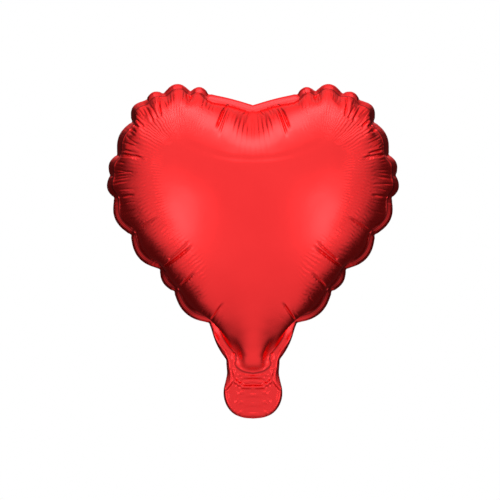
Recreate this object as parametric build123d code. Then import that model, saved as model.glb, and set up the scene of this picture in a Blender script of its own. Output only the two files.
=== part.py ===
from build123d import *

import os
from math import cos, hypot, radians, sin

# Heart-shaped foil balloon, inflated: two foil panels welded round a scalloped rim, with a flat neck,
# a tail that folds at its crease, and a two-film check valve in the neck.
# Millimetres. +Z is up and the front panel faces -Y. The origin is the neck's waist, where a ribbon is tied.

# Driving dimensions
DEPTH = 80.0  # front crown to back crown
FILM = 0.3  # one foil panel
VALVE_FILM = 0.15  # one valve film
VALVE_GAP = 0.05  # room between a valve film and its panel
VALVE_WIDTH = 20.0
VALVE_TOP = 42.0  # upper end of the valve, inside the envelope
VALVE_MOUTH = -27.0  # lower end of the valve, just inside the tail
CHANNEL_WIDTH = VALVE_WIDTH + 0.6  # room for the valve, under a raised strip of panel
CHANNEL_TOP = 12.0  # upper end of the raised strip, under the dome
FOLD_Z = -10.0  # the crease, which is the hinge axis of the tail
FOLD_ROOM = 1.2  # from the crease to each part that it joins
TAIL_HALF_WIDTH = 18.0
TAIL_CENTRE_Z = -14.0
TAIL_BOTTOM = -30.0

HALF_DEPTH = DEPTH / 2
VALVE_OUTER = VALVE_FILM + VALVE_GAP
STRIP_WIDTH = CHANNEL_WIDTH + 2 * FILM
STRIP_OUTER = VALVE_OUTER + FILM
NECK_END = FOLD_Z + FOLD_ROOM
TAIL_TOP = FOLD_Z - FOLD_ROOM

# Right half of the seal line, from the cleft round the lobe to the tip, as (x, z)
SEAL_LINE = [
    (0, 155.5), (14, 160.5), (33, 167.5), (52, 168.0), (69, 158.5), (80.5, 141), (84.5, 117),
    (81.5, 92), (70, 69.5), (52, 49.5), (34, 30.5), (17, 11.5), (6, -0.5), (0, -2.6),
]
# Right half of the rim's notches, from the cleft down to the neck, and how far each lobe bulges past its notches
CLEFT = (0, 160.4)
RIM_LOBES = [
    ((27.5, 167.8), 0.8), ((38.1, 170.6), 3.0), ((54.6, 169.4), 4.2), ((65.3, 164.4), 3.4),
    ((74.6, 152.8), 4.6), ((83.2, 130.4), 4.8), ((86.9, 117.6), 3.9), ((85.2, 103.4), 4.8),
    ((75.4, 80.4), 6.2), ((57.7, 58.4), 6.3), ((47.9, 47.0), 3.2), ((26.2, 27.4), 6.0),
]
# Right side of the neck, from the last notch to the crease
NECK_SIDE = [(26.2, 27.4), (22.6, 15.5), (18.2, 7.5), (15.6, 0), (16.6, NECK_END)]
CREASE_WIDTH = 2 * NECK_SIDE[-1][0]

# The dome is a stack of shrinking seal lines, one for each angle up a rounded section
DOME_ANGLES = [0, 14, 28, 42, 55, 67, 77, 85]
DOME_POINTEDNESS = 0.9
DOME_FOOT_Z = 96.0  # the height that the seal line shrinks about
DOME_CROWN_Z = 108.0
DOME_RADIUS = 75.0  # of the seal line, on average


def mirrored(points):
    """A closed run of points, from the right half of an outline."""
    return points + [(-x, z) for x, z in reversed(points[1:-1])]


def bulge(start, end, height):
    """An arc from start to end that stands out by height on its left."""
    (x0, z0), (x1, z1) = start, end
    length = hypot(x1 - x0, z1 - z0)
    across_x, across_z = (z0 - z1) / length, (x1 - x0) / length
    middle = ((x0 + x1) / 2 + across_x * height, (z0 + z1) / 2 + across_z * height)
    return ThreePointArc(*[Vector(x, 0, z) for x, z in (start, middle, end)])


def dome(inset):
    """Solid between the y = 0 plane and the front panel's face, moved inwards by inset."""
    sections = []
    for angle in DOME_ANGLES:
        height = (HALF_DEPTH - inset) * sin(radians(angle))
        size = cos(radians(angle)) ** DOME_POINTEDNESS
        centre_z = DOME_CROWN_Z + (DOME_FOOT_Z - DOME_CROWN_Z) * size
        scale = size * (1 - inset / DOME_RADIUS)
        points = [
            Vector(x * scale, -height, centre_z + (z - DOME_FOOT_Z) * scale)
            for x, z in mirrored(SEAL_LINE)
        ]
        sections.append(Wire([Edge.make_spline(points, periodic=True)]))
    return Solid.make_loft(sections)


def rim_face():
    """The flat outline of the rim and the neck, down to the crease."""
    corners = [CLEFT] + [notch for notch, _ in RIM_LOBES]
    right = [bulge(a, b, h) for a, b, (_, h) in zip(corners, corners[1:], RIM_LOBES)]
    right.append(Spline(*[Vector(x, 0, z) for x, z in NECK_SIDE]))
    left = [edge.mirror(Plane.YZ) for edge in right]
    x, z = NECK_SIDE[-1]
    return Face(Wire(right + left + [Line(Vector(x, 0, z), Vector(-x, 0, z))]))


def tail_face():
    """The flat outline of the tail: an ellipse cut off just below the crease."""
    spoon = Pos(0, TAIL_CENTRE_Z) * Ellipse(TAIL_HALF_WIDTH, TAIL_CENTRE_Z - TAIL_BOTTOM)
    below = Pos(0, (TAIL_TOP + 2 * TAIL_BOTTOM) / 2)
    return Plane.XZ * (spoon & below * Rectangle(3 * TAIL_HALF_WIDTH, TAIL_TOP - 2 * TAIL_BOTTOM))


def strip(width, low, high, near, far):
    """A flat film from z = low to high, between near and far in front of the y = 0 plane."""
    return Pos(0, -(near + far) / 2, (low + high) / 2) * Box(width, far - near, high - low)


def front_panel():
    plate = Solid.extrude(rim_face(), Vector(0, -FILM, 0))
    raised = strip(STRIP_WIDTH, NECK_END, CHANNEL_TOP, 0, STRIP_OUTER)
    channel = strip(CHANNEL_WIDTH, NECK_END, 2 * CHANNEL_TOP, 0, VALVE_OUTER)
    return dome(0) + plate + raised - dome(FILM) - channel


def front_tail():
    plate = extrude(tail_face(), FILM)
    raised = extrude(tail_face(), STRIP_OUTER) & strip(STRIP_WIDTH, TAIL_BOTTOM, TAIL_TOP, 0, STRIP_OUTER)
    return plate + raised - strip(CHANNEL_WIDTH, 2 * TAIL_BOTTOM, TAIL_TOP, 0, VALVE_OUTER)


def front_crease():
    """The short stretch of panel that bends at the crease."""
    plate = strip(CREASE_WIDTH, TAIL_TOP, NECK_END, 0, FILM)
    raised = strip(STRIP_WIDTH, TAIL_TOP, NECK_END, 0, STRIP_OUTER)
    return plate + raised - strip(CHANNEL_WIDTH, TAIL_TOP, NECK_END, 0, VALVE_OUTER)


def valve(low, high):
    return strip(VALVE_WIDTH, low, high, 0, VALVE_FILM)


FRONT = {
    "front_panel": front_panel(),
    "front_tail_film": front_tail(),
    "front_crease_film": front_crease(),
    "front_valve_film": valve(NECK_END, VALVE_TOP),
    "front_valve_crease": valve(TAIL_TOP, NECK_END),
    "front_inlet_film": valve(VALVE_MOUTH, TAIL_TOP),
}

os.makedirs("parts", exist_ok=True)
for name, solid in FRONT.items():
    export_step(solid, f"parts/{name}.step")
    export_step(mirror(solid, Plane.XZ), f"parts/{name.replace('front', 'back')}.step")
    print(name, round(solid.volume, 1), "mm3")
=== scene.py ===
"""Heart-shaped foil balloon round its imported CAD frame.

The two foil panels are cut flat, welded together and blown up by a small cloth solver in this file. It works
in millimetres on the right half, and the left half mirrors it, apart from its fine wrinkles and the depths of
its creases. x is to the right, z is up and the front panel faces -y.
"""

import copy
from math import cos, hypot, pi, radians, sin

import bpy
import numpy as np
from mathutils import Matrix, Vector
from mathutils.geometry import delaunay_2d_cdt


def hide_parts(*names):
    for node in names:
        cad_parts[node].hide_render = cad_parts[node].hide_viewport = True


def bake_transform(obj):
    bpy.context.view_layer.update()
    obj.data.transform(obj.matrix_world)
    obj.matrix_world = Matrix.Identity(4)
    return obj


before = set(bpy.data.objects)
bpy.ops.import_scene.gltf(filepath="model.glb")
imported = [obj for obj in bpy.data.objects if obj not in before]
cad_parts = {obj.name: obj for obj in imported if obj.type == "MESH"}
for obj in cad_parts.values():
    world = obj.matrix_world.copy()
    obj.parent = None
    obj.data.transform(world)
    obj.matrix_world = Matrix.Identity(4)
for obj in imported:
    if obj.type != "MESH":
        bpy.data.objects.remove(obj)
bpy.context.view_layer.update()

MM = 0.001
SAME = 1e-6  # points closer than this are one, and a point closer to x = 0 is on it
ON_LINE = 0.02  # a point this close to a run of points is on it

# ---- shape, in millimetres
# Right half of the weld's inner line, from the cleft to the tip in the neck: when full, and in the flat cut
FULL_WELD = [
    (0, 157), (20, 162.5), (33, 165.8), (44, 167), (54, 165.6), (64, 160.5), (73, 151.5), (82.2, 130),
    (82.4, 103), (72, 77.5), (54, 54), (35, 34.5), (19, 18.5), (9.8, 8), (9.8, 3), (6, -0.8), (0, -2.6),
]
FLAT_WELD = [
    (0, 183.5), (21, 187), (36.5, 188.9), (52, 187.6), (65.4, 183), (77.2, 174.4), (87.3, 162),
    (96.6, 136.8), (96, 106.6), (84.8, 77.8), (65, 50.6), (43.2, 28.8), (23.9, 16.5), (11.9, 7.5), (12, 2.6),
    (7.1, -1.1), (0, -2.6),
]
WELD_WIDTH = 3.8
NECK_WELD_WIDTH = 6.4
# Right half of the rim when full: each notch, and how far the lobe before it stands out past its notches
CLEFT = (0, 160.4)
RIM_LOBES = [
    ((27.5, 167.4), 0.5), ((38.1, 169.0), 3.6), ((54.6, 167.6), 5.0), ((65.3, 163.2), 3.4),
    ((74.1, 150.6), 4.8), ((82.7, 129.9), 4.0), ((86.7, 117.7), 4.2), ((84.2, 104.4), 4.6),
    ((74.4, 81.5), 5.4), ((56.4, 60.6), 5.8), ((47.9, 47.0), 3.6), ((26.2, 28.2), 6.0),
]
# Right side of the neck when full, and the same four places in the flat cut
FULL_NECK = [(23.2, 16.5), (18.9, 8.5), (16.2, 3.7), (15.5, 0.5)]
FLAT_NECK = [(26.3, 14.8), (21.5, 8), (18.5, 3.7), (17.3, 0.5)]
# Right side of the flat neck and tail, below the heart
TAIL_SIDE = [
    (17.4, 2.5), (16.2, -3), (16.8, -8), (17.8, -13), (17.6, -18), (15.4, -23.5), (11.5, -27.6), (6, -29.8),
    (0, -30.4),
]
HEART_FROM = 9  # the rim keeps its distance from the weld above this height
NECK_WIDENS = 34, 8  # the heights between which that distance grows to the neck's
# The solver starts from the cut shrunk towards this height by a share, with a dome this deep
CENTRE_Z = 92
START_SHRINK = 0.14
START_DEPTH = 38.0
START_HEIGHTS = 2, 62  # it shrinks fully above these heights
START_REACH = 30.0  # how far from the weld the dome goes on rising
START_WELD_FROM = 20.0  # above this the weld starts where it lies when full

# The net that stands for the film: its spacing before it is divided, and how often it is
RIM_SPACING = 4.0
MIDDLE_SPACING = 8.0
GRADE_REACH = 40.0  # how far from the weld the spacing goes on growing
CLEFT_SPACING = 0.7  # of the spacing elsewhere, near the cleft
CLEFT_REACH = 28.0
CREASE_SPACING = 0.6  # of the spacing elsewhere, at the tail's crease
CREASE_Z = -10.0
CREASE_REACH = 4.0
RUN_ROOM, AXIS_ROOM, POINT_ROOM = 0.7, 0.6, 0.86  # least distances between points, as shares of the spacing
DIVISIONS = 2
# The film: stiffness in tension is 1, so pressure and bending are relative to it
PRESSURE = 1.6e-4
BENDING = 0.003  # of the finest net
COARSE_BENDING = 3 * BENDING  # of the nets before it
FIRST_BENDING = 0.02  # of the net before it is divided
WELD_BENDING = 30.0  # two layers, against one
SLACK_STIFFNESS = 0.03  # in compression, against tension, where the film wrinkles finer than the net
WELD_SLACK_STIFFNESS = 0.3
RIM_HOLD = 0.6  # how strongly the rim is held in place
WELD_LEVEL = 0.01  # how strongly the weld is held to the y = 0 plane, and then the neck and the tail
NECK_LEVEL, NECK_LEVEL_HEIGHTS = 0.05, (4, -2)
# Damped steps, and the share of the speed lost in each
FIRST_STEPS, FIRST_DRAG = 900, 0.03  # before the net is divided
STEPS, DRAG = 1000, 0.015
TOP_SPEED = 0.8  # millimetres in a step
TENSION_MASS, BENDING_MASS, LEAST_MASS = 0.62, 0.3, 0.05  # enough for the steps to be stable
SHAKE = 0.04  # random shift after a division, as a share of the spacing, to start wrinkles


def ramp(value, start, end):
    """From 0 at start to 1 at end, in a straight line."""
    return np.clip((value - start) / (end - start), 0, 1)


# ---- runs of points
def between(t, start, p, end, q):
    """The point at t on the line that is at p at start and at q at end."""
    return ((end - t) * p + (t - start) * q) / (end - start)


def smooth_run(points, per=24):
    """A smooth curve through points, with per steps from each to the next."""
    p = np.array(points, float)
    ends = np.vstack([2 * p[0] - p[1], p, 2 * p[-1] - p[-2]])
    out = []
    for a, b, c, d in zip(ends, ends[1:], ends[2:], ends[3:]):
        t1 = np.linalg.norm(b - a) ** 0.5
        t2 = t1 + np.linalg.norm(c - b) ** 0.5
        t3 = t2 + np.linalg.norm(d - c) ** 0.5
        for t in np.linspace(t1, t2, per, endpoint=False):
            ab, bc, cd = between(t, 0, a, t1, b), between(t, t1, b, t2, c), between(t, t2, c, t3, d)
            abc, bcd = between(t, 0, ab, t2, bc), between(t, t1, bc, t3, cd)
            out.append(between(t, t1, abc, t2, bcd))
    return np.vstack([out, p[-1:]])


def lengths(vectors):
    return np.linalg.norm(vectors, axis=1)


def arc_lengths(run):
    return np.concatenate([[0], np.cumsum(lengths(np.diff(run, axis=0)))])


def places_at(arc, arcs, points):
    """Where arc lengths lie along a run, from the arc lengths of its points."""
    return np.stack([np.interp(arc, arcs, points[:, i]) for i in (0, 1)], 1)


def spaced(run, spacing):
    """Points along a run. spacing is a number, or a function of the points that gives one for each."""
    s = arc_lengths(run)
    middles = (run[1:] + run[:-1]) / 2
    step = spacing(middles) if callable(spacing) else np.full(len(middles), float(spacing))
    count = np.concatenate([[0], np.cumsum(np.diff(s) / step)])
    at = np.interp(np.linspace(0, count[-1], max(2, round(count[-1]) + 1)), count, s)
    return places_at(at, s, run)


def nearest_on(points, run):
    """For each point: the nearest place on a run, how far it is, and its arc length along the run."""
    a, ab = run[:-1], np.diff(run, axis=0)
    length2 = (ab**2).sum(1)
    s = arc_lengths(run)
    found = []
    for some in np.array_split(points, len(points) // 1000 + 1):
        t = np.clip(((some[:, None] - a) * ab).sum(2) / length2, 0, 1)
        q = a + t[..., None] * ab
        d2 = ((q - some[:, None]) ** 2).sum(2)
        best = np.argmin(d2, axis=1)[:, None]
        pick = np.take_along_axis
        place = np.stack([pick(q[..., i], best, 1)[:, 0] for i in (0, 1)], 1)
        arc = s[best[:, 0]] + pick(t, best, 1)[:, 0] * np.sqrt(length2[best[:, 0]])
        found.append((place, np.sqrt(pick(d2, best, 1)[:, 0]), arc))
    return tuple(np.concatenate(parts) for parts in zip(*found))


def sides_of(tris):
    """All the first sides of triangles, then the second and the third."""
    return np.vstack([tris[:, [0, 1]], tris[:, [1, 2]], tris[:, [2, 0]]])


def edges_of(tris):
    """Edges as (low, high), and which edge each side is."""
    edges, which = np.unique(np.sort(sides_of(tris), axis=1), axis=0, return_inverse=True)
    return edges, which.ravel()


def cross(u, v):
    return u[:, 0] * v[:, 1] - u[:, 1] * v[:, 0]


def twice_area(flat, tris):
    """Twice the area of flat triangles, negative where one is turned over."""
    a, b, c = (flat[tris[:, i]] for i in range(3))
    return cross(b - a, c - a)


def inside(points, run):
    """Which points lie between a run and the x = 0 axis, on which it starts and ends."""
    x, z = points[:, 0], points[:, 1]
    hit = np.zeros(len(points), bool)
    for (x0, z0), (x1, z1) in zip(run, run[1:]):
        if z0 != z1:
            hit ^= ((z0 > z) != (z1 > z)) & (x < x0 + (z - z0) * (x1 - x0) / (z1 - z0))
    return hit


def bulge(start, end, height, steps=12):
    """An arc from start towards end that stands out by height on its left, without its end."""
    a, b = np.array(start, float), np.array(end, float)
    chord = hypot(*(b - a))
    across = np.array([a[1] - b[1], b[0] - a[0]]) / chord
    t = np.linspace(0, 1, steps, endpoint=False)[:, None]
    return a + t * (b - a) + 4 * height * t * (1 - t) * across


# ---- the flat cut
def flat_runs():
    """The flat cut's rim, and its weld line, from the cleft down to the axis."""
    weld = smooth_run(FLAT_WELD)
    along = np.gradient(weld, axis=0)
    along /= lengths(along)[:, None]
    outwards = np.stack([-along[:, 1], along[:, 0]], 1)
    neck = ramp(weld[:, 1], *NECK_WIDENS)[:, None]
    rim = weld + outwards * (WELD_WIDTH + (NECK_WELD_WIDTH - WELD_WIDTH) * neck)
    heart = rim[weld[:, 1] > HEART_FROM]
    rim = np.vstack([heart, smooth_run([tuple(heart[-1])] + TAIL_SIDE)[1:]])
    rim[[0, -1], 0] = 0
    return spaced(rim, 1.0), spaced(weld, 1.0)


def rim_goals(rim):
    """Where the full balloon's rim lies: arc lengths along the flat rim, and the point for each."""
    notches = [CLEFT] + [notch for notch, _ in RIM_LOBES]
    full, flat = smooth_run(FULL_WELD), smooth_run(FLAT_WELD)
    match = [int(np.argmin(((full - n) ** 2).sum(1))) for n in notches]
    at = nearest_on(flat[match], rim)[2]
    at[0] = 0
    arcs, points = [], []
    for i, (_, height) in enumerate(RIM_LOBES):
        lobe = bulge(notches[i], notches[i + 1], height)
        part = arc_lengths(np.vstack([lobe, notches[i + 1 : i + 2]]))
        arcs.append(at[i] + (at[i + 1] - at[i]) * part[:-1] / part[-1])
        points.append(lobe)
    arcs += [at[-1:], nearest_on(np.array(FLAT_NECK), rim)[2]]
    points += [np.array(notches[-1:]), np.array(FULL_NECK)]
    return np.concatenate(arcs), np.vstack(points)


def weld_goals(points):
    """Where points of the flat weld line lie when the balloon is full."""
    flat, full = smooth_run(FLAT_WELD), smooth_run(FULL_WELD)
    arc = nearest_on(points, flat)[2]
    return places_at(arc, arc_lengths(flat), full)


def scatter(rim, weld, fixed):
    """Points inside the rim, closer together near the weld and the cleft, and none close to a fixed point."""
    step = RIM_SPACING * min(CLEFT_SPACING, CREASE_SPACING) / 3
    xs, zs = np.arange(step, rim[:, 0].max(), step), np.arange(rim[-1, 1], rim[:, 1].max(), step * 0.87)
    x, z = np.meshgrid(xs, zs)
    x = x + (np.arange(len(x)) % 2)[:, None] * step / 2
    spots = np.stack([x.ravel(), z.ravel()], 1)
    spots = spots[inside(spots, rim)]
    reach = spacing_at(spots)
    _, weld_gap, _ = nearest_on(spots, spaced(weld, 3.0))
    _, rim_gap, _ = nearest_on(spots, spaced(rim, 3.0))
    grown = RIM_SPACING + (MIDDLE_SPACING - RIM_SPACING) * ramp(weld_gap, 0, GRADE_REACH)
    reach = reach * np.where(inside(spots, weld), grown, RIM_SPACING) / RIM_SPACING
    clear = np.minimum(weld_gap, rim_gap) > RUN_ROOM * spacing_at(spots)
    clear &= spots[:, 0] > AXIS_ROOM * reach
    spots, reach, weld_gap = spots[clear], reach[clear], weld_gap[clear]
    cells = {}

    def cell(p):
        return int(p[0] // MIDDLE_SPACING), int(p[1] // MIDDLE_SPACING)

    for p in fixed:
        cells.setdefault(cell(p), []).append(p)
    kept = []
    for i in np.argsort(np.round(2 * weld_gap / RIM_SPACING), kind="stable"):
        p, r2 = tuple(spots[i]), (POINT_ROOM * reach[i]) ** 2
        cx, cz = cell(p)
        near = [q for ax in (-1, 0, 1) for az in (-1, 0, 1) for q in cells.get((cx + ax, cz + az), ())]
        if all((p[0] - q[0]) ** 2 + (p[1] - q[1]) ** 2 >= r2 for q in near):
            kept.append(p)
            cells.setdefault((cx, cz), []).append(p)
    return kept


def spacing_at(flat):
    """The net's spacing beside the weld, which is finer near the cleft and at the tail's crease."""
    x, z = flat[:, 0], flat[:, 1]
    cleft = np.exp(-(x**2 + (z - FLAT_WELD[0][1]) ** 2) / CLEFT_REACH**2)
    crease = np.exp(-(((z - CREASE_Z) / CREASE_REACH) ** 2))
    return RIM_SPACING * (1 - (1 - CLEFT_SPACING) * cleft - (1 - CREASE_SPACING) * crease)


def split_triangles(tris, middles):
    """Divides triangles at the middles of their three sides, where -1 is a side that stays whole."""
    split = middles >= 0
    count = split.sum(1)
    made, parent = [tris[count == 0]], [np.where(count == 0)[0]]
    # turned so that the sides that are split come first
    turns = {1: np.argmax(split, 1), 2: (np.argmax(~split, 1) + 1) % 3, 3: 0 * count}
    for k, turn in turns.items():
        rows = np.where(count == k)[0]
        order = (turn[rows, None] + np.arange(3)) % 3
        p, q, r = np.take_along_axis(tris[rows], order, 1).T
        a, b, c = np.take_along_axis(middles[rows], order, 1).T
        corners = {
            1: [(p, a, r), (a, q, r)],
            2: [(a, q, b), (p, a, b), (p, b, r)],
            3: [(p, a, c), (a, q, b), (c, b, r), (a, b, c)],
        }[k]
        made += [np.stack(corner, 1) for corner in corners]
        parent += [rows] * len(corners)
    return np.vstack(made), np.concatenate(parent)


class Cut:
    """The flat cut as triangles. front and back are where its points lie on the two panels."""

    def __init__(self):
        self.rim, self.weld = flat_runs()
        rim, weld = spaced(self.rim, spacing_at), spaced(self.weld, spacing_at)
        top = spaced(np.array([rim[0], weld[0]]), RIM_SPACING)
        low = spaced(np.array([weld[-1], rim[-1]]), RIM_SPACING)
        heights = [weld[0, 1]]
        while heights[-1] > weld[-1, 1]:
            gap = min(weld[0, 1] - heights[-1], heights[-1] - weld[-1, 1])
            grown = (MIDDLE_SPACING - RIM_SPACING) * min(1, gap / GRADE_REACH)
            heights.append(heights[-1] - spacing_at(np.array([[0, heights[-1]]]))[0] - grown)
        heights = np.interp(heights, [heights[-1], heights[0]], [weld[-1, 1], weld[0, 1]])
        middle = np.stack([0 * heights, heights], 1)
        points, chains = [], []
        for run in (rim, weld, top, low, middle):
            chain = []
            for p in map(tuple, run):
                same = [i for i, q in enumerate(points) if hypot(p[0] - q[0], p[1] - q[1]) < SAME]
                if not same:
                    points.append(p)
                chain.append(same[0] if same else len(points) - 1)
            chains += list(zip(chain, chain[1:]))
        points += scatter(self.rim, self.weld, points)
        made = delaunay_2d_cdt([Vector(p) for p in points], chains, [], 1, 1e-4)
        self.flat = np.array([tuple(p) for p in made[0]])
        tris = np.array(made[2])
        turned = twice_area(self.flat, tris) < 0
        tris[turned] = tris[turned][:, ::-1]
        self.tris = tris
        self.blown = inside(self.flat[tris].mean(1), self.weld)
        self.front = self.back = None

    def joined(self):
        """Which points are in the weld or the tail, where the two panels are one."""
        out = np.zeros(len(self.flat), bool)
        out[self.tris[~self.blown].ravel()] = True
        return out

    def divide(self):
        """Each triangle in four. New points on the rim and the weld line go onto their curves."""
        t = self.tris
        edges, which = edges_of(t)
        flat = self.flat[edges].mean(1)
        sides = np.bincount(which)
        blown_sides = np.bincount(which, np.tile(self.blown, 3))
        off_axis = flat[:, 0] > SAME
        for run, on in ((self.rim, sides == 1), (self.weld, (sides == 2) & (blown_sides == 1))):
            on &= off_axis
            flat[on] = nearest_on(flat[on], run)[0]
        self.tris, parent = split_triangles(t, which.reshape(3, -1).T + len(self.flat))
        self.blown = self.blown[parent]
        self.flat = np.vstack([self.flat, flat])
        self.front = np.vstack([self.front, self.front[edges].mean(1)])
        self.back = np.vstack([self.back, self.back[edges].mean(1)])
        one = self.joined()
        self.front[one] = self.back[one] = (self.front[one] + self.back[one]) / 2


# ---- the film under pressure
class Net:
    """Both panels of a cut as springs, hinges and a pressure, moved to rest by damped steps."""

    def __init__(self, cut, bending):
        self.cut, n = cut, len(cut.flat)
        joined = cut.joined()
        self.free = np.where(~joined)[0]
        self.back_id = np.arange(n)
        self.back_id[self.free] = n + np.arange(len(self.free))
        flat = np.vstack([cut.flat, cut.flat[self.free]])
        self.count = len(flat)
        front, weld = cut.tris[cut.blown], cut.tris[~cut.blown]
        back = self.back_id[front][:, ::-1]
        self.blown = np.vstack([front, back])
        self.on_axis = flat[:, 0] < SAME
        in_weld = np.concatenate([joined, np.zeros(self.count - n, bool)])
        self.springs(flat, np.vstack([front, back, weld]), 2 * len(front), in_weld)
        self.hinges(flat, front, back, weld, in_weld, bending)
        pull = np.bincount(self.e0, self.stiff, self.count) + np.bincount(self.e1, self.stiff, self.count)
        bend = np.zeros(self.count)
        for j in range(4):
            rows = self.hinge_stiff * np.abs(self.weights[:, j]) * np.abs(self.weights).sum(1)
            bend += np.bincount(self.hinge[:, j], rows, self.count)
        self.mass = TENSION_MASS * pull + BENDING_MASS * bend + LEAST_MASS
        self.keep_flat = (WELD_LEVEL + NECK_LEVEL * ramp(cut.flat[:, 1], *NECK_LEVEL_HEIGHTS)) * joined
        self.into = np.concatenate([self.e0, self.e1, *self.blown.T, *self.hinge.T])

    def springs(self, flat, tris, single, in_weld):
        """A spring for each edge, as stiff as the film beside it. Triangles from single on are two films."""
        area = 0.5 * np.abs(twice_area(flat, tris))
        area[single:] *= 2
        edges, which = edges_of(tris)
        self.e0, self.e1 = edges.T
        self.rest = lengths(flat[self.e1] - flat[self.e0])
        self.stiff = np.bincount(which, np.tile(area, 3)) / self.rest**2
        self.slack = np.where(in_weld[self.e0] & in_weld[self.e1], WELD_SLACK_STIFFNESS, SLACK_STIFFNESS)

    def hinges(self, flat, front, back, weld, in_weld, bending):
        """One hinge for each pair of triangles, and for each triangle and its mirror image at x = 0."""
        found = []
        for tris in (np.vstack([front, weld]), np.vstack([back, weld])):
            opposite = np.concatenate([tris[:, 2], tris[:, 0], tris[:, 1]])
            edges, which = edges_of(tris)
            order = np.argsort(which, kind="stable")
            which = which[order]
            two = np.where(which[1:] == which[:-1])[0]
            found.append(np.column_stack([edges[which[two]], opposite[order[two]], opposite[order[two + 1]]]))
        self.plain = sum(map(len, found))
        for tris in (front, back, weld):
            for i, j, k in ((0, 1, 2), (1, 2, 0), (2, 0, 1)):
                on = self.on_axis[tris[:, i]] & self.on_axis[tris[:, j]]
                found.append(tris[on][:, [i, j, k, k]])
        h = np.vstack(found)
        x0, x1, x2, x3 = (flat[h[:, i]].copy() for i in range(4))
        x3[self.plain :, 0] *= -1

        def cot(u, v):
            return (u * v).sum(1) / np.maximum(1e-9, np.abs(cross(u, v)))

        near, far = cot(x1 - x0, x2 - x0), cot(x1 - x0, x3 - x0)
        near_end, far_end = cot(x0 - x1, x2 - x1), cot(x0 - x1, x3 - x1)
        self.weights = np.stack([near_end + far_end, near + far, -near - near_end, -far - far_end], 1)
        area = (np.abs(cross(x1 - x0, x2 - x0)) + np.abs(cross(x1 - x0, x3 - x0))) / 2
        stiff = bending * np.where(in_weld[h].all(1), WELD_BENDING, 1.0)
        stiff[self.plain :] *= 0.5
        self.hinge, self.hinge_stiff = h, 3 * stiff / area

    def force(self, x):
        d = x[self.e1] - x[self.e0]
        length = np.sqrt((d * d).sum(1))
        stretch = length - self.rest
        stretch = np.where(stretch < 0, stretch * self.slack, stretch)
        pull = (self.stiff * stretch / length)[:, None] * d
        a, b, c = (x[self.blown[:, i]] for i in range(3))
        push = np.cross(b - a, c - a) * (PRESSURE / 6)
        bend = sum(self.weights[:, j, None] * x[self.hinge[:, j]] for j in range(4))
        bend *= -self.hinge_stiff[:, None]
        bend[self.plain :, 0] = 0
        bends = [self.weights[:, j, None] * bend for j in range(4)]
        values = np.concatenate([pull, -pull, push, push, push] + bends)
        total = np.stack([np.bincount(self.into, values[:, i], self.count) for i in range(3)], 1)
        points, goal, hold = self.goal
        total[points] += hold * (goal - x[points]) * (1, 0, 1)
        total[: len(self.keep_flat), 1] -= self.keep_flat * x[: len(self.keep_flat), 1]
        return total

    def settle(self, steps, drag, goal):
        """Moves the film towards rest. goal is (rim points, where each belongs, how strongly it is held)."""
        self.goal = goal
        x = np.vstack([self.cut.front, self.cut.back[self.free]])
        v = np.zeros_like(x)
        mass = self.mass[:, None].copy()
        mass[goal[0]] += goal[2]
        for _ in range(steps):
            v = (v + self.force(x) / mass) * (1 - drag)
            v[self.on_axis, 0] = 0
            speed = np.sqrt((v * v).sum(1))
            v *= np.minimum(1, TOP_SPEED / np.maximum(speed, 1e-9))[:, None]
            x = x + v
            x[:, 0] = np.where(self.on_axis, 0, np.maximum(x[:, 0], 0))
        self.cut.front = x[: len(self.cut.flat)].copy()
        self.cut.back = x[self.back_id].copy()


def on_run(cut, run):
    """Which points of a cut lie on a run, and their arc lengths along it."""
    _, gap, arc = nearest_on(cut.flat, run)
    on = np.where(gap < ON_LINE)[0]
    return on, arc[on]


def inflated():
    """The cut, with both panels blown up."""
    cut = Cut()
    arcs, points = rim_goals(cut.rim)

    def goal(hold):
        on, arc = on_run(cut, cut.rim)
        on, arc = on[arc <= arcs[-1]], arc[arc <= arcs[-1]]
        return on, np.insert(places_at(arc, arcs, points), 1, 0, axis=1), hold * RIM_HOLD

    up = ramp(cut.flat[:, 1], *START_HEIGHTS)
    size = 1 - START_SHRINK * up * up * (3 - 2 * up)
    x, z = cut.flat[:, 0] * size, CENTRE_Z + (cut.flat[:, 1] - CENTRE_Z) * size
    _, gap, _ = nearest_on(cut.flat, spaced(cut.weld, 3.0))
    dome = inside(cut.flat, cut.weld) & ~cut.joined()
    height = np.where(dome, START_DEPTH * (1 - np.exp(-gap / START_REACH)), 0)
    cut.front = np.stack([x, -height, z], 1)
    cut.back = np.stack([x, height, z], 1)
    on, where, _ = goal(1)
    cut.front[on] = cut.back[on] = where
    on, _ = on_run(cut, cut.weld)
    on = on[cut.flat[on, 1] > START_WELD_FROM]
    cut.front[on] = cut.back[on] = np.insert(weld_goals(cut.flat[on]), 1, 0, axis=1)
    Net(cut, FIRST_BENDING).settle(FIRST_STEPS, FIRST_DRAG, goal(1))
    random = np.random.default_rng(3)
    for division in range(1, DIVISIONS + 1):
        cut.divide()
        shake = random.normal(0, SHAKE * RIM_SPACING / 2**division, cut.front.shape)
        shake[:, 0] = 0
        cut.front += shake
        cut.back += np.where(cut.joined()[:, None], shake, -shake)
        film = Net(cut, BENDING if division == DIVISIONS else COARSE_BENDING)
        film.settle(STEPS, DRAG, goal(0.5**division))
    return cut


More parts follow.
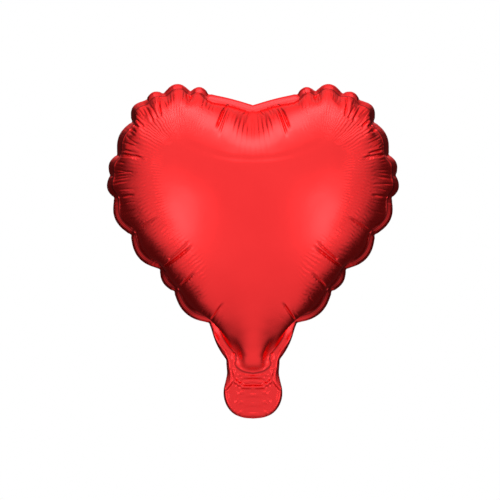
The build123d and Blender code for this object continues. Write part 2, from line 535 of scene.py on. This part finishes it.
# ---- detail that is finer than the net
FOIL = 0.15  # thickness of a panel in the weld and the tail
DOME_FOIL = 0.5  # and in the dome, so that its plainer inner face clears the wrinkles
DOME_FOIL_FROM = 8.0  # from this far inside the weld
PLY_GAP = 0.01  # from the middle of the weld to each panel
VALVE_FILM = 0.06
VALVE_GAP = 0.02  # from the middle to each valve film
VALVE_ROOM = 0.12  # how far each panel stands off the middle over the valve
VALVE_MARGIN = 1.6, 0.4  # this room grows between these distances outside the valve
VALVE_ROOM_END = 16, 8  # and between these heights, under the dome
VALVE_WIDTH = 20.0
VALVE_TOP = 42.0  # its upper end, inside the heart
VALVE_MOUTH = -27.0  # its lower end, just inside the tail
VALVE_NET = 0.5

# Spacing of the outer face's net
WRINKLE_NET = 0.58
WRINKLE_NET_REACH = 20.0  # how far from the weld it is as fine as that
CREASE_NET, PLAIN_NET = 0.45, 2.3
TOO_LONG = 1.4  # an edge is divided when it is this many times too long
RUN_SPACING = 1.5  # of the runs that distances are measured from

# Creases in the dome, on both sides and both panels: from the rim inwards, depth, half width
CREASES = [
    ([(14.6, 161.6), (17.4, 156), (20.6, 148), (22.4, 143)], 1.1, 1.0),
    ([(13.6, 160), (16.2, 153.6), (18.4, 147), (20.6, 138.5)], 0.85, 0.9),
    ([(37, 169), (38, 165), (38.7, 159)], 0.6, 0.9),
    ([(39.9, 168), (40.7, 162)], 0.45, 0.8),
    ([(56.3, 165.5), (57, 161), (55, 151.5)], 0.85, 1.0),
    ([(61, 158.5), (56.8, 150.5)], 0.6, 0.9),
    ([(64.4, 158), (59.4, 148.5)], 0.6, 0.9),
    ([(70, 151), (65.2, 146)], 0.6, 0.9),
    ([(75, 150.3), (68.6, 146)], 0.8, 1.0),
    ([(77, 147.2), (69.6, 143)], 0.7, 1.0),
    ([(82.5, 129.8), (76, 129.6), (64.6, 127)], 0.8, 1.0),
    ([(78, 132.8), (67.6, 129.4)], 0.65, 0.9),
    ([(84, 104.5), (79, 104.7), (71, 106)], 0.6, 1.0),
    ([(74.4, 81.7), (66, 87), (56.5, 92.8)], 0.75, 1.0),
    ([(56.2, 60.5), (48, 65.6), (41, 71), (35.4, 75.4)], 1.0, 1.0),
    ([(50, 67), (43, 72.8), (37.6, 78)], 0.6, 0.8),
    ([(46.5, 47.5), (42, 52), (34.6, 59.4)], 0.7, 1.0),
    ([(26.2, 28.6), (23, 33), (17.2, 41.4)], 0.8, 1.0),
    ([(0, 126), (17, 127.6), (35, 133.4), (47, 141)], 0.2, 2.2),
    ([(8, 1), (7.8, 6), (10.2, 12), (16, 20)], 0.5, 3.0),
]
CREASE_BOX, WRINKLE_BOX = 40, 8  # how far from its middle a crease or a wrinkle is worked out
STEP = 0.9  # how much of a crease is a step down towards one side
WIDE = 2.0  # a wider crease is a soft fold, without a step or a finer net
LEFT_SHARE = 0.35  # taken off every other crease on the left
# Fine wrinkles across the weld all the way round, and the shares of each value that are drawn
WRINKLE_SPACING, SPACING_SHARES = 2.5, (0.6, 1.5)
WRINKLE_DEPTH, DEPTH_SHARES = 0.3, (0.25, 1.3)
WRINKLE_WIDTH, WIDTH_SHARES = 0.78, (0.8, 1.4)
WRINKLE_REACH, REACH_SHARES = 24.0, (0.5, 1.3)
WRINKLE_SLANT = 0.12  # at most, to either side
RIGHT_SEEDS, LEFT_SEEDS = (11, 12), (13, 14)  # of the front's draws and the back's
WRINKLE_START = 0.35  # their depth at the weld, as a share
WRINKLE_FULL = 9.0  # they are deepest from here inwards
WRINKLE_HEIGHT = 26, 46  # they start and are full at these heights in the flat cut
FLUTTER = 0.25  # how much of their depth goes on across the weld
# Faint hatching beyond them, only as a bump: where it fades in and out, from the weld, in height and in x
HATCH_START, HATCH_END = (15, 21), (45, 33)
HATCH_HEIGHT, HATCH_X = (34, 46), (24, 32)
HATCH_SPACING = 3.1
HATCH_UNEVEN = 11.0  # radians of noise in it
RIB_SPACING = 0.9  # of the ribs in the weld, which are only a bump too
# Parallel wrinkles under the cleft
COMB_TOP = 190.0  # the height that they fan out from
COMB_TURNS = 100.0
COMB_SWAY = (1.1, 5.1), (0.5, 6.1)  # with x and with height: radians, and over what length
COMB_DEPTH = 0.18
COMB_HALF_WIDTH, COMB_MARGIN = 18.0, 5.0
COMB_REACH = 34.0
# How far the weld sweeps back for each millimetre of its width, and where in the flat cut that fades in
SWEEP, SWEEP_HEIGHT = 0.8, (18, 30)
TOP_SWEEP, TOP_HEIGHT = 0.62, (165, 179)
SHOULDER_SWEEP, SHOULDER_HEIGHT, SHOULDER_X = 1.1, (105, 120), (62, 74)  # added; x is when full
# How far the rim's notches are nipped in, and how wide
NIP, NIP_WIDTH = 1.5, 2.3
FAR = 1000  # added to the distance of points that aren't asked for
# The cut edge curls back over this width, by this much
CURL_WIDTH, CURL = 1.5, 1.3

# Ridges pressed into the neck and the tail, on both sides: height towards the front, half width
RIDGES = [
    ([(12.2, -6.6), (10, -8.7), (5.5, -11.3), (0, -12.1)], 1.35, 1.1),
    ([(13.4, -1), (13.1, -5), (13.8, -8.6), (17, -12.6)], 1.7, 1.2),
    ([(13.8, -8.6), (12.6, -7.4), (12.2, -5.8)], 1.4, 1.1),
    ([(23.8, 20.6), (20.2, 14.8), (16.4, 9.8), (14.4, 5), (13.4, -1)], 1.3, 1.0),
    ([(19.6, 17), (15.8, 11.4), (12.9, 6.6), (12.2, 2.2)], 0.6, 0.8),
    ([(12.4, 9), (12, 4), (11.9, 1), (10.6, -1.8), (7, -4.2), (3, -5), (0, -5.4)], 0.9, 0.9),
    ([(13.2, -12.6), (12, -18), (9, -23)], -0.6, 1.2),
    ([(8.6, -14.5), (4, -16), (0, -16.4)], 0.6, 1.0),
    ([(9.5, -20), (5, -21.6), (0, -22)], 0.6, 1.1),
    ([(16.2, -15), (14.6, -21), (10.6, -25.6), (5, -27.8), (0, -28.1)], 0.7, 1.0),
]
RIDGE_END_X, RIDGE_END_HEIGHT = (11.4, 10.4), (-4, -3)  # none where the neck is still blown up
# Ripples across the middle, from the crease down
RIPPLE_SPACING = 2.9
RIPPLE_X, RIPPLE_START = (12, 8), (-4, -6)  # they start and are full at these places
RIPPLE_HEIGHT, RIPPLE_LEAST = 0.36, 0.35  # the least is a share
RIPPLE_STRONG, RIPPLE_REACH = -8, 6  # where they are highest, and how far that goes on


def smoothstep(t):
    t = np.clip(t, 0, 1)
    return t * t * (3 - 2 * t)


def rise(value, start, end):
    """From 0 at start to 1 at end, smoothly."""
    return smoothstep((value - start) / (end - start))


def normals(points, tris):
    """Unit normals of a surface at its points."""
    a, b, c = (points[tris[:, i]] for i in range(3))
    across = np.repeat(np.cross(b - a, c - a), 3, axis=0)
    total = np.stack([np.bincount(tris.ravel(), across[:, i], len(points)) for i in range(3)], 1)
    return total / np.maximum(lengths(total), 1e-12)[:, None]


def crease_depth(x, z, share):
    """How far the creases press the dome in. share is taken off every other crease."""
    out = np.zeros(len(x))
    for i, (points, depth, width) in enumerate(CREASES):
        run = smooth_run(points, 8)
        depth *= 1 - share * (i % 2)
        off_x, off_z = np.abs(x - run[:, 0].mean()), np.abs(z - run[:, 1].mean())
        near = np.where((off_x < CREASE_BOX) & (off_z < CREASE_BOX))[0]
        place, gap, arc = nearest_on(np.stack([x[near], z[near]], 1), run)
        length = arc_lengths(run)[-1]
        along = run[-1] - run[0]
        side = np.sign(along[0] * (z[near] - place[:, 1]) - along[1] * (x[near] - place[:, 0]))
        u = gap / (width * (1 + 0.25 * arc / length))
        groove = (1 - 1.1 * u * u) * np.exp(-u * u)
        step = side * STEP * u * np.exp(-u * u)
        out[near] += depth * (groove if width > WIDE else groove + step) * smoothstep(3 * (1 - arc / length))
    return out


def wrinkle_depth(arc, gap, seed):
    """Fine wrinkles at right angles to the weld: arc is the place along it and gap the distance from it."""
    random = np.random.default_rng(seed)
    out = np.zeros(len(arc))
    at = 2.0
    while at < arc.max():
        depth = WRINKLE_DEPTH * random.uniform(*DEPTH_SHARES)
        width = WRINKLE_WIDTH * random.uniform(*WIDTH_SHARES)
        reach = WRINKLE_REACH * random.uniform(*REACH_SHARES)
        slant = random.uniform(-WRINKLE_SLANT, WRINKLE_SLANT)
        near = np.where(np.abs(arc - at) < WRINKLE_BOX)[0]
        u2 = ((arc[near] - at - slant * gap[near]) / width) ** 2
        along = smoothstep(2.6 * (1 - gap[near] / reach))
        along *= WRINKLE_START + (1 - WRINKLE_START) * smoothstep(gap[near] / WRINKLE_FULL)
        out[near] += depth * (1 - 1.2 * u2) * np.exp(-u2) * along
        at += WRINKLE_SPACING * random.uniform(*SPACING_SHARES)
    return out


def comb_depth(x, z):
    """The parallel wrinkles under the cleft."""
    turn = COMB_TURNS * x / (COMB_TOP - z)
    for place, (sway, length) in zip((x, z), COMB_SWAY):
        turn = turn + sway * np.sin(place / length)
    down = (FULL_WELD[0][1] - z) / COMB_REACH
    fade = smoothstep(2.5 * down) * smoothstep(2 * (1 - down))
    return COMB_DEPTH * np.cos(turn) * fade * smoothstep((COMB_HALF_WIDTH - x * (1 + down)) / 4)


def relief(x, z):
    """How far the neck and the tail stand out towards the front."""
    out = np.zeros(len(x))
    spots = np.stack([x, z], 1)
    for points, height, width in RIDGES:
        _, gap, _ = nearest_on(spots, smooth_run(points, 8))
        ridge = height * np.exp(-((gap / width) ** 2))
        out = np.maximum(out, ridge) if height > 0 else out + ridge
    out *= 1 - rise(x, *RIDGE_END_X) * rise(z, *RIDGE_END_HEIGHT)
    wave = np.sin(2 * pi * (z + 0.03 * x * x + 0.3 * np.sin(0.7 * x)) / RIPPLE_SPACING)
    middle = rise(x, *RIPPLE_X) * rise(z, *RIPPLE_START)
    strong = np.exp(-(((z - RIPPLE_STRONG) / RIPPLE_REACH) ** 2))
    return out + RIPPLE_HEIGHT * wave * middle * (RIPPLE_LEAST + (1 - RIPPLE_LEAST) * strong)


def over_valve(x, z):
    """From 1 over the valve to 0 beside it and well up into the dome."""
    side = rise(x - VALVE_WIDTH / 2, *VALVE_MARGIN)
    return side * rise(VALVE_MOUTH - z, *VALVE_MARGIN) * rise(z, *VALVE_ROOM_END)


def two_sided(cut):
    """Outward normals of the front dome, the back dome and the weld, each over the points that it has."""
    dome, weld = cut.tris[cut.blown], cut.tris[~cut.blown]
    found = normals(cut.front, dome), normals(cut.back, dome[:, ::-1]), normals(cut.front, weld)
    for out in found:
        out[cut.flat[:, 0] < SAME, 0] = 0
        out /= np.maximum(lengths(out), 1e-12)[:, None]
    return found


def detail_spacing(cut, edges, flat):
    """How long an edge of the outer face may be, to show the detail at its middle."""
    _, gap, _ = nearest_on(flat, spaced(cut.weld, RUN_SPACING))
    within = inside(flat, cut.weld)
    x, _, z = cut.front[edges].mean(1).T
    out = np.where(within & (gap > WRINKLE_NET_REACH), PLAIN_NET, WRINKLE_NET)
    out[(x < COMB_HALF_WIDTH + COMB_MARGIN) & (z > FULL_WELD[0][1] - COMB_REACH)] = WRINKLE_NET
    spots = np.stack([x, z], 1)
    for points, _, width in CREASES:
        run = smooth_run(points, 8)
        near = np.where(np.hypot(*(spots - run.mean(0)).T) < 20)[0]
        if width < WIDE:
            out[near[nearest_on(spots[near], run)[1] < 1.6 * width]] = CREASE_NET
    return out


def finer(cut):
    """Divides the cut's longer edges twice, and puts each panel's new points on curves through its old ones.

    Returns the point in the middle of each old edge of the rim, as {(low, high): point}.
    """
    for turn in (1, 2):
        front_out, back_out, weld_out = two_sided(cut)
        t, n, old = cut.tris, len(cut.flat), cut.joined()
        edges, which = edges_of(t)
        flat = cut.flat[edges].mean(1)
        rim = (np.bincount(which) == 1) & (flat[:, 0] > SAME)
        length = lengths(cut.flat[edges[:, 0]] - cut.flat[edges[:, 1]])
        chosen = length > TOO_LONG * detail_spacing(cut, edges, flat)
        chosen = chosen | rim if turn == 1 else chosen & ~rim
        number = np.where(chosen, n - 1 + np.cumsum(chosen), -1)
        if turn == 1:
            middles = {(int(a), int(b)): int(k) for (a, b), k in zip(edges[rim], number[rim])}
        cut.flat = np.vstack([cut.flat, flat[chosen]])
        cut.tris, parent = split_triangles(t, number[which].reshape(3, -1).T)
        cut.blown = cut.blown[parent]
        new_joined = cut.joined()[n:]
        a, b = edges[chosen].T
        for side, out in (("front", front_out), ("back", back_out)):
            at = getattr(cut, side)
            in_weld = (old[a] & old[b] & new_joined)[:, None]
            out_a, out_b = np.where(in_weld, weld_out[a], out[a]), np.where(in_weld, weld_out[b], out[b])
            d = at[b] - at[a]
            bend = (d * out_b).sum(1)[:, None] * out_b - (d * out_a).sum(1)[:, None] * out_a
            setattr(cut, side, np.vstack([at, (at[a] + at[b]) / 2 + bend / 8]))
    return middles


def nip_shift(points, joined, gap):
    """How far the rim's points move in at its notches."""
    shift = np.zeros_like(points)
    beside_weld = ~joined & (gap <= 0.6)
    for (x, z), _ in RIM_LOBES:
        notch = points[np.argmin(np.hypot(points[:, 0] - x, points[:, 2] - z) + FAR * ~joined)]
        away = lengths(points - notch)
        foot = points[np.argmin(away + FAR * ~beside_weld)]
        inwards = (foot - notch) / np.linalg.norm(foot - notch)
        shift += inwards * (NIP * np.clip(1 - away / NIP_WIDTH, 0, 1) ** 1.3)[:, None]
    return shift


def dressed(cut, seeds, share):
    """The surface that each panel is built on and its outward normals, with all the fine detail, and which
    points lie on the weld's inner line. share is taken off every other crease, so that the halves differ.
    """
    cut = copy.copy(cut)
    flat, joined = cut.flat, cut.joined()
    _, gap, arc = nearest_on(flat, spaced(cut.weld, RUN_SPACING))
    front_out, back_out, weld_out = two_sided(cut)
    low_fade = rise(flat[:, 1], *WRINKLE_HEIGHT)
    done = []
    for points, out, seed in zip((cut.front, cut.back), (front_out, back_out), seeds):
        out = np.where(joined[:, None], 0, out)
        x, z = points[:, 0], points[:, 2]
        press = crease_depth(x, z, share) * smoothstep(1.5 * np.abs(out[:, 1]))
        press += wrinkle_depth(arc, gap, seed) * low_fade
        press += comb_depth(x, z) * smoothstep(2 * np.abs(out[:, 1]))
        press *= rise(gap, -0.5, 1.5)
        done.append(points - out * press[:, None])
    height = flat[:, 1]
    sweep = SWEEP + (TOP_SWEEP - SWEEP) * rise(height, *TOP_HEIGHT)
    sweep *= rise(height, *SWEEP_HEIGHT)
    sweep += SHOULDER_SWEEP * rise(height, *SHOULDER_HEIGHT) * rise(cut.front[:, 0], *SHOULDER_X)
    _, to_rim, _ = nearest_on(flat, spaced(cut.rim, RUN_SPACING))
    back_by = sweep * gap + CURL * np.clip(1 - to_rim / CURL_WIDTH, 0, 1) ** 2
    flutter = FLUTTER * wrinkle_depth(arc, 0 * gap + WRINKLE_FULL, seeds[0]) * low_fade
    shift = nip_shift(cut.front, joined, gap) - weld_out * flutter[:, None]
    shift[:, 1] += back_by - relief(cut.front[:, 0], cut.front[:, 2])
    cut.front, cut.back = (points + shift * joined[:, None] for points in done)
    front_out, back_out, weld_out = two_sided(cut)
    lip = np.zeros(len(flat), bool)
    lip[cut.tris[cut.blown].ravel()] = True
    lip &= joined
    both = []
    for points, out, away in ((cut.front, front_out, weld_out), (cut.back, back_out, -weld_out)):
        out = np.where(joined[:, None], away, out)
        points[:, 1] += np.sign(out[:, 1]) * VALVE_ROOM * over_valve(points[:, 0], points[:, 2])
        both.append((points, out))
    return both, lip


# ---- meshes
def placed(name, data):
    """A new object in the scene."""
    made = bpy.data.objects.new(name, data)
    bpy.context.scene.collection.objects.link(made)
    return made


def closed_film(name, outer, inner, tris, inner_tris, left=None, middles=None, lip=None, marks=None):
    """A closed sheet on both sides of x = 0, from its right half.

    outer starts with a point over each point of inner. left is (outer, inner) for the left half, still at
    positive x, where it differs. middles has the outer point over the middle of each inner edge of the rim,
    as {(low, high): point}, where the outer face is divided there. lip marks the points of a sharp line, and
    marks has the outer points' values for the material, by name.
    """
    n, m = len(outer), len(inner)
    edges = sides_of(inner_tris)
    _, first, count = np.unique(np.sort(edges, axis=1), axis=0, return_index=True, return_counts=True)
    on_axis = np.concatenate([outer, inner])[:, 0] < SAME
    sides, sharp = [], set()
    for a, b in edges[first[count == 1]].tolist():
        if on_axis[a] and on_axis[b]:
            continue
        low, high = a + n, b + n
        if middles is None:
            chain = [a, b]
            sides += [(b, a, low), (b, low, high)]
        else:
            chain = [a, middles[min(a, b), max(a, b)], b]
            sides += [(chain[1], a, low), (chain[1], low, high), (b, chain[1], high)]
        sharp |= {(low, high), *zip(chain, chain[1:])}
    faces = np.vstack([tris, inner_tris[:, ::-1] + n, np.array(sides)])
    points = np.vstack([outer, inner]) * MM
    off = np.where(~on_axis)[0]
    twin = np.arange(n + m)
    twin[off] = n + m + np.arange(len(off))
    twins = points if left is None else np.vstack(left) * MM
    points = np.vstack([points, twins[off] * (-1, 1, 1)])
    faces = np.vstack([faces, twin[faces][:, ::-1]])
    mesh = bpy.data.meshes.new(name)
    mesh.from_pydata(points.tolist(), [], faces.tolist())
    mesh.shade_smooth()
    pairs = np.array(sorted(sharp))
    pairs = np.sort(np.vstack([pairs, twin[pairs]]), axis=1)
    ends = np.zeros(2 * len(mesh.edges), np.int32)
    mesh.edges.foreach_get("vertices", ends)
    ends = np.sort(ends.reshape(-1, 2), axis=1).astype(np.int64)
    is_sharp = np.isin(ends @ (len(points), 1), pairs @ (len(points), 1))
    if lip is not None:
        marked = np.concatenate([lip, np.zeros(m, bool)])
        marked = np.concatenate([marked, marked[off]])
        is_sharp |= marked[ends].all(1)
    mesh.attributes.new("sharp_edge", "BOOLEAN", "EDGE").data.foreach_set("value", is_sharp)
    for mark, values in (marks or {}).items():
        both = np.concatenate([values, values[:m]])
        made = mesh.attributes.new(mark, "FLOAT", "POINT")
        made.data.foreach_set("value", np.concatenate([both, both[off]]).astype(np.float32))
    return placed(name, mesh)


def foil_pieces(cut):
    inner_tris, count = cut.tris, len(cut.flat)
    middles = finer(cut)
    right, lip = dressed(cut, RIGHT_SEEDS, 0)
    left, _ = dressed(cut, LEFT_SEEDS, LEFT_SHARE)
    _, gap, arc = nearest_on(cut.flat, spaced(cut.weld, RUN_SPACING))
    seal = np.where(inside(cut.flat, cut.weld), -gap, gap)
    hatch = rise(-seal, *HATCH_START) * rise(-seal, *HATCH_END)
    hatch *= rise(cut.front[:, 2], *HATCH_HEIGHT) * rise(cut.front[:, 0], *HATCH_X)
    marks = {"weld": seal, "along": arc, "hatch": hatch}
    thickness = FOIL + (DOME_FOIL - FOIL) * rise(-seal, 0, DOME_FOIL_FROM)
    area = np.abs(twice_area(cut.flat, cut.tris)).sum() * MM * MM  # of both halves
    flat_size = (2 * np.ptp(cut.flat[:, 0]) * MM, np.ptp(cut.flat[:, 1]) * MM)
    material = red_foil()
    for i, (side, turn) in enumerate((("front", 1), ("back", -1))):
        halves = []
        for points, out in (right[i], left[i]):
            outer = points + out * (PLY_GAP + FOIL)
            halves.append((outer, (outer - out * thickness[:, None])[:count]))
        tris = cut.tris[:, ::turn], inner_tris[:, ::turn]
        piece = closed_film(f"{side}_foil", *halves[0], *tris, halves[1], middles, lip, marks)
        piece.data.materials.append(material)
        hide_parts(f"{side}_panel", f"{side}_crease_film", f"{side}_tail_film")
        yield piece


def valve_pieces():
    """The check valve: two films down the middle of the neck, pressed together."""
    xs = np.arange(0, VALVE_WIDTH / 2 + ON_LINE, VALVE_NET)
    zs = np.arange(VALVE_MOUTH, VALVE_TOP + ON_LINE, VALVE_NET)
    x, z = np.meshgrid(xs, zs)
    x, z = x.ravel(), z.ravel()
    cell = (np.arange(len(zs) - 1)[:, None] * len(xs) + np.arange(len(xs) - 1)).ravel()
    tris = np.vstack([
        np.stack([cell, cell + 1, cell + len(xs)], 1),
        np.stack([cell + 1, cell + len(xs) + 1, cell + len(xs)], 1),
    ])
    middle = np.stack([x, -relief(x, z), z], 1)
    ahead = np.tile((0.0, -1.0, 0.0), (len(x), 1))
    material = valve_film()
    for side, out, faces in (("front", ahead, tris), ("back", -ahead, tris[:, ::-1])):
        inner = middle + out * VALVE_GAP
        piece = closed_film(f"{side}_valve", inner + out * VALVE_FILM, inner, faces, faces)
        piece.data.materials.append(material)
        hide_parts(f"{side}_valve_film", f"{side}_valve_crease", f"{side}_inlet_film")
        yield piece


# ---- materials
def empty_tree(owner):
    """The node tree of a material or a world, with nothing in it."""
    owner.use_nodes = True
    owner.node_tree.nodes.clear()
    return owner.node_tree


def node(tree, kind, inputs=None, **properties):
    """A shader node. Each input is given by name or number, as a source socket or a value."""
    row, column = divmod(len(tree.nodes), 8)
    made = tree.nodes.new("ShaderNode" + kind)
    made.location = (250 * column, -350 * row)
    for key, value in properties.items():
        setattr(made, key, value)
    for key, value in (inputs or {}).items():
        if isinstance(value, bpy.types.NodeSocket):
            tree.links.new(value, made.inputs[key])
        else:
            made.inputs[key].default_value = value
    return made


# Each of these makes one node, and returns its output socket
def attribute(tree, name):
    return node(tree, "Attribute", attribute_name=name).outputs["Fac"]


def noise(tree, place, scale, detail):
    return node(tree, "TexNoise", {"Vector": place, "Scale": scale, "Detail": detail}).outputs["Fac"]


def remap(tree, value, low, high, to_low=0.0, to_high=1.0, curve="LINEAR"):
    """Takes low to to_low and high to to_high, and stops there."""
    inputs = {"Value": value, "From Min": low, "From Max": high, "To Min": to_low, "To Max": to_high}
    return node(tree, "MapRange", inputs, interpolation_type=curve).outputs[0]


def mixed(tree, share, one, other):
    """Goes from one colour to the other."""
    return node(tree, "Mix", {0: share, 6: one, 7: other}, data_type="RGBA").outputs[2]


def maths(tree, operation, *inputs):
    return node(tree, "Math", dict(enumerate(inputs)), operation=operation).outputs[0]


def bumped(tree, height, strength, distance, under=(0, 0, 0)):
    """A bump, over another one."""
    inputs = {"Height": height, "Strength": strength, "Distance": distance, "Normal": under}
    return node(tree, "Bump", inputs).outputs[0]


def red_foil():
    """Aluminium-coated film under a clear red lacquer."""
    made = bpy.data.materials.new("red foil")
    tree = empty_tree(made)
    place = node(tree, "TexCoord").outputs["Object"]
    weld = attribute(tree, "weld")
    # the lacquer is a touch uneven
    tint = mixed(tree, noise(tree, place, 28.0, 3.0), (0.83, 0.020, 0.022, 1), (0.93, 0.030, 0.031, 1))
    # the weld is duller, and a dark line along the seam, where the dome meets the weld, is painted shade
    tint = mixed(tree, remap(tree, weld, -0.4, 0.6), tint, (0.74, 0.020, 0.022, 1))
    # painted shade: near-black red over the seam, strongest within 0.2 mm of it and gone 0.9 mm away
    painted_seam_shade = remap(tree, maths(tree, "ABSOLUTE", weld), 0.2, 0.9, 0.7, 0.0)
    tint = mixed(tree, painted_seam_shade, tint, (0.12, 0.002, 0.003, 1))
    # the metal is smoother where it is welded
    rough = remap(tree, weld, -1.5, 0.5, 0.27, 0.2)
    # the fine ribs that the heated bars press into the weld
    ribs = maths(tree, "SINE", maths(tree, "MULTIPLY", weld, 2 * pi / RIB_SPACING))
    ribs = maths(tree, "MULTIPLY", ribs, remap(tree, weld, 0.0, 0.4))
    # faint hatching inside the wrinkles
    phase = maths(tree, "MULTIPLY", attribute(tree, "along"), 2 * pi / HATCH_SPACING)
    phase = maths(tree, "ADD", phase, maths(tree, "MULTIPLY", noise(tree, place, 90.0, 2.0), HATCH_UNEVEN))
    lines = maths(tree, "MULTIPLY", maths(tree, "SINE", phase), attribute(tree, "hatch"))
    # film grain, soft crumples, the ribs and the hatching
    normal = bumped(tree, noise(tree, place, 1500.0, 2.0), 0.06, 0.0002)
    normal = bumped(tree, noise(tree, place, 130.0, 3.0), 0.12, 0.0008, normal)
    normal = bumped(tree, ribs, 0.15, 0.0001, normal)
    normal = bumped(tree, lines, 1.0, 0.000065, normal)
    shader = node(tree, "BsdfPrincipled", {
        "Base Color": tint, "Roughness": rough, "Normal": normal, "Metallic": 1.0,
        "Specular Tint": (1.0, 0.12, 0.12, 1), "Coat Weight": 0.25, "Coat Roughness": 0.3,
    })
    node(tree, "OutputMaterial", {"Surface": shader.outputs[0]})
    return made


def valve_film():
    """Milky polyethylene."""
    made = bpy.data.materials.new("valve film")
    tree = empty_tree(made)
    cloud = noise(tree, node(tree, "TexCoord").outputs["Object"], 90.0, 3.0)
    shader = node(tree, "BsdfPrincipled", {
        "Base Color": mixed(tree, cloud, (0.80, 0.79, 0.76, 1), (0.90, 0.90, 0.88, 1)),
        "Normal": bumped(tree, cloud, 0.2, 0.0005), "Roughness": 0.3, "Alpha": 0.55,
    })
    node(tree, "OutputMaterial", {"Surface": shader.outputs[0]})
    return made


def floor_material():
    """Pale grey, and gone at the floor's edge."""
    made = bpy.data.materials.new("floor")
    tree = empty_tree(made)
    place = node(tree, "TexCoord").outputs["Object"]
    away = node(tree, "VectorMath", {0: place}, operation="LENGTH").outputs["Value"]
    fade = remap(tree, away, 0.4 * FLOOR_RADIUS, 0.98 * FLOOR_RADIUS, curve="SMOOTHSTEP")
    tint = mixed(tree, noise(tree, place, 60.0, 4.0), (0.84, 0.84, 0.84, 1), (0.88, 0.88, 0.87, 1))
    surface = node(tree, "BsdfPrincipled", {"Base Color": tint, "Roughness": 0.9})
    clear = node(tree, "BsdfTransparent")
    both = node(tree, "MixShader", {0: fade, 1: surface.outputs[0], 2: clear.outputs[0]})
    node(tree, "OutputMaterial", {"Surface": both.outputs[0]})
    return made


# ---- the studio
VIEW = Vector((-0.0018, -1.6, 0.072))
LENS, SENSOR = 188.9, 36.0
NEAREST, FARTHEST = 0.05, 20  # that the camera sees
FLOOR_Z, FLOOR_RADIUS, FLOOR_CORNERS = -0.25, 1.4, 96
DARK = 0.075  # brightness where no soft box is
# Soft boxes on both sides of x = 0: direction, angle where it is full, angle where it ends, brightness
SOFT_BOXES = [
    ((0, -1, 0.04), 66, 111, 0.82),
    ((0, -1, 0.04), 8, 82, 0.15),
    ((0.62, -0.76, -0.2), 2, 14, 3.0),
    ((0.36, -0.2, 0.91), 4, 27, 2.1),
    ((0, -0.16, 0.99), 4, 24, 1.0),
    ((0, -0.62, 0.78), 1, 9, 0.9),
    ((0, 0.7, 0.71), 14, 42, 0.9),
    ((0, 0.15, 0.99), 8, 34, 0.85),
    ((0.82, 0.3, 0.49), 6, 26, 0.55),
    ((0.55, 0, 0.84), 4, 22, 0.5),
    ((0, 0.4, -0.91), 8, 30, 0.5),
]


def studio_world():
    """Soft boxes for reflections, in front of a plain white background."""
    world = bpy.data.worlds.new("studio")
    bpy.context.scene.world = world
    tree = empty_tree(world)
    direction = node(tree, "TexCoord").outputs["Generated"]
    total = DARK
    for (x, y, z), full, end, brightness in SOFT_BOXES:
        edge, core = cos(radians(end)), cos(radians(full))
        for side in (x, -x) if x else (0,):
            inputs = {0: direction, 1: Vector((side, y, z)).normalized()}
            dot = node(tree, "VectorMath", inputs, operation="DOT_PRODUCT").outputs["Value"]
            box = remap(tree, dot, edge, core, 0.0, brightness, "SMOOTHSTEP")
            total = maths(tree, "ADD", box, total)
    lit = node(tree, "Background", {"Strength": total, "Color": (1, 1, 1, 1)})
    white = node(tree, "Background", {"Color": (1, 1, 1, 1)})
    seen = node(tree, "LightPath").outputs["Is Camera Ray"]
    both = node(tree, "MixShader", {0: seen, 1: lit.outputs[0], 2: white.outputs[0]})
    node(tree, "OutputWorld", {"Surface": both.outputs[0]})


def floor():
    mesh = bpy.data.meshes.new("floor")
    turns = [2 * pi * i / FLOOR_CORNERS for i in range(FLOOR_CORNERS)]
    ring = [(FLOOR_RADIUS * cos(turn), FLOOR_RADIUS * sin(turn), 0) for turn in turns]
    mesh.from_pydata(ring, [], [list(range(FLOOR_CORNERS))])
    mesh.materials.append(floor_material())
    disc = placed("floor", mesh)
    disc.location.z = FLOOR_Z
    disc.visible_glossy = False


def camera():
    data = bpy.data.cameras.new("camera")
    data.lens, data.sensor_width = LENS, SENSOR
    data.clip_start, data.clip_end = NEAREST, FARTHEST
    eye = placed("camera", data)
    eye.location = VIEW
    eye.rotation_euler = (radians(90), 0, 0)
    bpy.context.scene.camera = eye


# ---- put it together
balloon = inflated()
for film in [*foil_pieces(balloon), *valve_pieces()]:
    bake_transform(film)

studio_world()
floor()
camera()
bpy.context.scene.view_settings.view_transform = "Standard"
bpy.context.scene.view_settings.look = "None"

bpy.context.view_layer.update()
